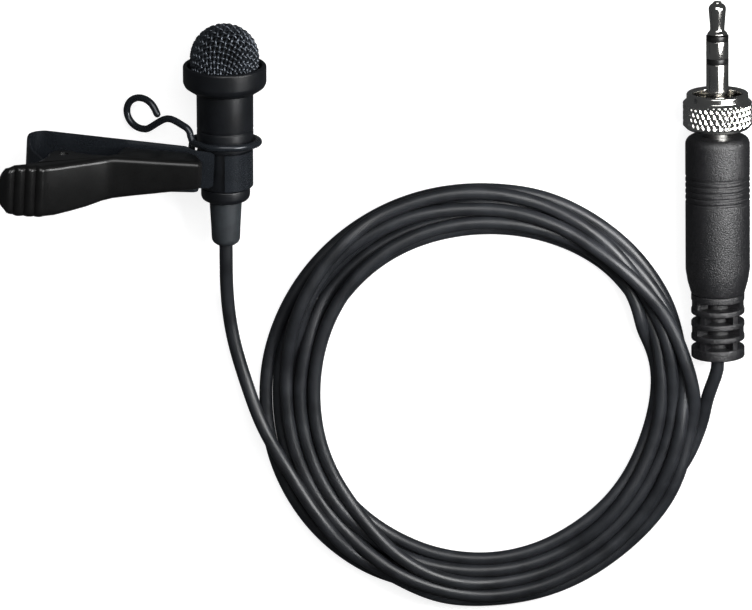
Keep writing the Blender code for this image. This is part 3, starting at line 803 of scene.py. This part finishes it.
def lever_low(x):
    """The lever's lower side."""
    knots = [(-30, 4.1), (-27.5, 4.4), (-24, 4.6), (-20, 4.2), (-15.5, 3.3), (-2.7, 2.2)]
    return lever_middle(x) - grip_round(x) * between(knots, x)


def make_lever(looks):
    """The moulded lever, with a pocket for the strip's curl and spring, and a hole for the pin."""
    solid = pillow(lever_outline(), lever_low, lever_top, 0.85)
    lever = place_mesh(
        "squeeze_lever", solid, CLIP_FLAT, looks["lever"], "clip_lever", ("lever",), 50
    )
    pocket = [(-28.1, 2.0), (-17.0, 2.0), (-17.0, 5.6), (-24.0, 10.5), (-28.1, 10.3)]
    pocket = [(x, z + STRIP_FRONT) for x, z in pocket]
    hole = arc(PIVOT, 0.75, 0, 350, 35)
    for outline, low, high in ((pocket, -2.7, 2.2), (hole, -5, 5)):
        block = extruded(outline, low, high)
        cut_out(lever, place_mesh("tool", block, CLIP_FLAT, looks["lever"], "clip_lever"))
    smooth_by_angle(lever, 35)


def smooth_by_angle(obj, degrees):
    """Smooth shading, with the edges sharper than this angle left sharp."""
    mesh = bmesh.new()
    mesh.from_mesh(obj.data)
    for face in mesh.faces:
        face.smooth = True
    for edge in mesh.edges:
        edge.smooth = len(edge.link_faces) == 2 and edge.calc_face_angle(0) < math.radians(degrees)
    mesh.to_mesh(obj.data)
    mesh.free()


# ---------------------------------------------------------------- plug


def make_contacts(looks):
    """The plug's shaft: three contacts with two insulating rings between them, and the neck behind."""
    lathed = (
        ("contact_tip", "plug_tip", "nickel", 0.25, False,
         [(0, 31), (0.35, 31), (0.35, 52.55), (1.5, 52.55), (1.58, 52.8), (1.1, 53.3), (1.2, 54.6),
          (1.38, 56.8), (1.15, 57.3), (0.72, 57.55), (0.6, 57.85), (0, 57.9)]),
        ("insulating_ring_front", "insulator_front", "insulator", 0.03, True,
         [(0.4, 49.4), (0.55, 49.4), (0.55, 51.7), (1.75, 51.7), (1.75, 52.5), (0.4, 52.5)]),
        ("contact_ring", "ring_contact", "nickel", 0.06, True,
         [(0.6, 32), (0.8, 32), (0.8, 48.9), (1.75, 48.9), (1.75, 51.65), (0.6, 51.65)]),
        ("insulating_ring_rear", "insulator_rear", "insulator", 0.03, True,
         [(0.85, 33), (1.2, 33), (1.2, 48.05), (1.75, 48.05), (1.75, 48.85), (0.85, 48.85)]),
        ("contact_sleeve", "sleeve_contact", "nickel", 0.06, True,
         [(1.25, 34), (1.75, 34), (1.75, 48.0), (1.25, 48.0)]),
        ("neck", "plug_neck", "nickel", 0.12, True,
         [(1.8, 33.0), (2.4, 33.0), (2.4, 38.45), (3.6, 38.45), (3.6, 39.2), (2.4, 39.4), (2.4, 40.4),
          (1.8, 40.4)]),
    )
    made = []
    for name, node, slot, radius, closed, profile in lathed:
        mesh = turned(rounded(profile, radius, closed), 96, closed)
        made.append(place_mesh(name, mesh, PLUG, looks[slot], "microphone", (node,)))
    return made


# The body's radius, its top and the radius of its shoulder; the grip grooves' number, places and floor.
BODY_R, BODY_TOP, BODY_SHOULDER = 5.05, 36.5, 1.3
GROOVE_COUNT, GROOVE_FIRST, GROOVE_PITCH, GROOVE_R = 5, 26.0, 0.95, 4.86


def make_plug_body(looks):
    """The moulded body: a narrower foot, five grip grooves and a rounded shoulder."""
    grooves = []
    for k in range(GROOVE_COUNT):
        low = GROOVE_FIRST + GROOVE_PITCH * k
        grooves += [(BODY_R, low), (GROOVE_R, low + 0.1), (GROOVE_R, low + 0.38), (BODY_R, low + 0.48)]
    top = arc((BODY_R - BODY_SHOULDER, BODY_TOP - BODY_SHOULDER), BODY_SHOULDER, 0, 90, 12)
    foot = rounded([(3.2, 11.25), (4.2, 11.25), (4.3, 11.6), (4.75, 13.2), (BODY_R, 15.1)], 0.5, False)
    profile = foot + rounded([(BODY_R, 25.0)] + grooves + [(BODY_R, 31.5)], 0.07, False) + top
    profile += [(2.45, BODY_TOP), (2.45, 32.4), (3.2, 32.4)]
    mesh = turned(profile)
    return place_mesh(
        "moulded_body", mesh, PLUG, looks["plug_plastic"], "microphone", ("plug_body",)
    )


def sector(mesh, inner, outer, start, end, low, high):
    """Adds a block between two radii and two angles."""
    far = arc((0, 0), outer, start, end, 10)
    near = arc((0, 0), inner, end, start, 10)
    extruded(far + near, low, high, mesh)


def make_strain_relief(looks):
    """Discs on a core, joined by webs that leave the lead free to bend."""
    foot, slot, disc, end_disc, wide, top = 0.9, 1.15, 0.95, 1.7, 4.2, 11.2
    web_angles = ((43, 57), (123, 137), (223, 237), (303, 317)), ((-36, 36), (144, 216))
    overlap = 0.06
    parts = bmesh.new()
    spans = [(foot, foot + end_disc)]
    for row in range(4):
        low = foot + end_disc + row * (slot + disc)
        spans.append((low + slot, low + slot + disc))
        for start, end in web_angles[row % 2]:
            sector(parts, 1.8, wide - 0.12, start, end, low - overlap, low + slot + overlap)
    spans[-1] = (spans[-1][0], top)
    blank = bpy.data.meshes.new("disc")
    for low, high in spans:
        disc_profile = [(0, low), (wide, low), (wide, high), (0, high)]
        piece = turned(rounded(disc_profile, 0.26, False, 5), 96, False)
        piece.to_mesh(blank)
        piece.free()
        parts.from_mesh(blank)
    stem = [(0, foot + 0.2), (2.0, foot + 0.2), (2.0, 11.0), (3.15, 11.0), (3.15, 12.5), (0, 12.5)]
    core = turned(stem, 64, False)
    core.to_mesh(blank)
    core.free()
    parts.from_mesh(blank)
    look = looks["plug_plastic"]
    return place_mesh(
        "bend_relief", parts, PLUG, look, "microphone", ("plug_strain_relief",)
    )


# The knurled band: its heights and radius, then the grooves round it, their lead from one to the next, their
# depth, the share of a pitch that is half a groove, and the length over which they run out.
KNURL_LOW, KNURL_HIGH, KNURL_R = 38.35, 41.85, 5.4
KNURL_COUNT, KNURL_TALL, KNURL_DEPTH, KNURL_HALF, KNURL_RUN_OUT = 36, 1.75, 0.3, 0.34, 0.35


def knurled(radius, height, angle):
    """A diamond knurl: two crossing sets of V grooves, run out at both ends."""
    if radius < KNURL_R:
        return radius
    from_end = min(height - KNURL_LOW, KNURL_HIGH - height)
    run_out = min(1.0, max(0.0, from_end / KNURL_RUN_OUT))
    around, along = KNURL_COUNT * angle / (2 * math.pi), height / KNURL_TALL
    deepest = 0.0
    for lean in (1, -1):
        place = (around + lean * along) % 1.0
        deepest = max(deepest, 1 - abs(place - 0.5) / KNURL_HALF)
    return radius - KNURL_DEPTH * (deepest if run_out > 0 else 0.0) * (0.35 + 0.65 * run_out)


def make_lock_nut(looks):
    """The nut: a foot that steps out to the knurled band, and a narrower collar in front of it."""
    rows = 32
    band = [(KNURL_R, KNURL_LOW + (KNURL_HIGH - KNURL_LOW) * k / rows) for k in range(rows + 1)]
    foot = [(2.5, 38.36), (2.5, 37.4), (3.9, 37.4), (4.85, 37.75), (5.2, 38.15)]
    collar = [
        (5.15, 42.1), (4.83, 42.35), (4.83, 43.2), (4.65, 43.4), (4.1, 43.4), (3.8, 43.05), (3.8, 38.36),
    ]
    profile = rounded(foot, 0.12, False) + band + rounded(collar, 0.1, False)
    mesh = turned(profile, 12 * KNURL_COUNT, True, knurled)
    return place_mesh(
        "knurled_nut", mesh, PLUG, looks["nickel"], "plug_lock_nut", ("lock_nut",), 80
    )


def finish_hidden(looks):
    """The CAD pieces that stay get the finish of their slot."""
    kept = {
        "capsule_seat": "rubber", "capsule_can": "aluminium", "diaphragm_ring": "brass", "diaphragm": "film",
        "backplate": "brass", "circuit_board": "board", "transistor": "insulator", "cable_crimp": "brass",
        "plug_crimp": "brass", "hinge_pin": "steel", "torsion_spring": "steel",
    }
    for node, slot in kept.items():
        NODES[node].data.materials.clear()
        NODES[node].data.materials.append(looks[slot])


# ---------------------------------------------------------------- stage


def make_camera():
    """A long lens that looks down on the object, from a little towards +y."""
    lean = math.radians(CAMERA_LEAN)
    data = bpy.data.cameras.new("camera")
    data.sensor_width = 36.0
    data.lens = data.sensor_width * CAMERA_BACK / VIEW_WIDTH
    data.clip_end = 20.0
    camera = bpy.data.objects.new("camera", data)
    bpy.context.scene.collection.objects.link(camera)
    camera.location = (Vector(LOOK_AT) + Vector((0, math.sin(lean), math.cos(lean))) * CAMERA_BACK) * MM
    camera.rotation_euler = (-lean, 0, 0)
    bpy.context.scene.camera = camera


def make_floor():
    """A pale floor that curves up into a wall all round, and throws no light of its own on the object."""
    sweep = [(0, 0), (2200, 0), (2550, 40), (2800, 160), (2950, 380), (3000, 700), (3000, 2600)]
    mesh = turned(sweep, 96, False)
    for face in mesh.faces:
        face.smooth = True
    upright = Matrix.Rotation(math.pi / 2, 4, "X")
    bmesh.ops.transform(mesh, matrix=Matrix.Scale(MM, 4) @ upright, verts=mesh.verts)
    data = bpy.data.meshes.new("floor")
    mesh.to_mesh(data)
    mesh.free()
    floor = bpy.data.objects.new("floor", data)
    bpy.context.scene.collection.objects.link(floor)
    white, _, shader = tuned("floor_white", (0.42, 0.42, 0.42), 0.9, specular=0.0)
    shader.inputs["Emission Color"].default_value = (1, 1, 1, 1)
    shader.inputs["Emission Strength"].default_value = FLOOR_GLOW
    data.materials.append(white)
    floor.visible_glossy = False
    floor.visible_diffuse = False


def softbox(name, place, at, size, radiance, grid=180):
    """A rectangular light of this radiance; a grid keeps its light within an angle, in degrees."""
    data = bpy.data.lights.new(name, "AREA")
    data.shape = "RECTANGLE"
    data.size, data.size_y = size
    data.energy = radiance * math.pi * size[0] * size[1]
    data.spread = math.radians(grid)
    lamp = bpy.data.objects.new(name, data)
    lamp.visible_camera = False
    bpy.context.scene.collection.objects.link(lamp)
    lamp.location = place
    lamp.rotation_euler = (Vector(at) - Vector(place)).to_track_quat("-Z", "Y").to_euler()


def make_light():
    """A softbox over the far side, a smaller one on the plug's right, and a dim room."""
    world = bpy.data.worlds.new("studio")
    world.use_nodes = True
    room = world.node_tree.nodes["Background"]
    room.inputs["Color"].default_value = (0.92, 0.96, 1.0, 1)
    room.inputs["Strength"].default_value = ROOM_LIGHT
    bpy.context.scene.world = world
    bpy.context.scene.view_settings.view_transform = "Standard"
    softbox("key", (0.11, 0.33, 0.58), at=(0.05, -0.03, 0.0), size=(0.55, 0.42), radiance=KEY_LIGHT)
    softbox(
        "side", (0.165, 0.02, 0.105), at=(0.0915, -0.012, 0.005), size=(0.07, 0.13),
        radiance=SIDE_LIGHT, grid=70,
    )


def main():
    make_camera()
    make_floor()
    make_light()
    looks = make_finishes()
    lead, route = make_lead(looks["cord"])
    make_housing(looks)
    make_collar(looks)
    make_windscreen(looks)
    make_wire_ring(looks)
    make_sleeve(looks)
    make_strip(looks)
    make_lever(looks)
    plug = make_contacts(looks)
    plug += [make_plug_body(looks), make_strain_relief(looks), make_lock_nut(looks), NODES["plug_crimp"]]
    finish_hidden(looks)


main()
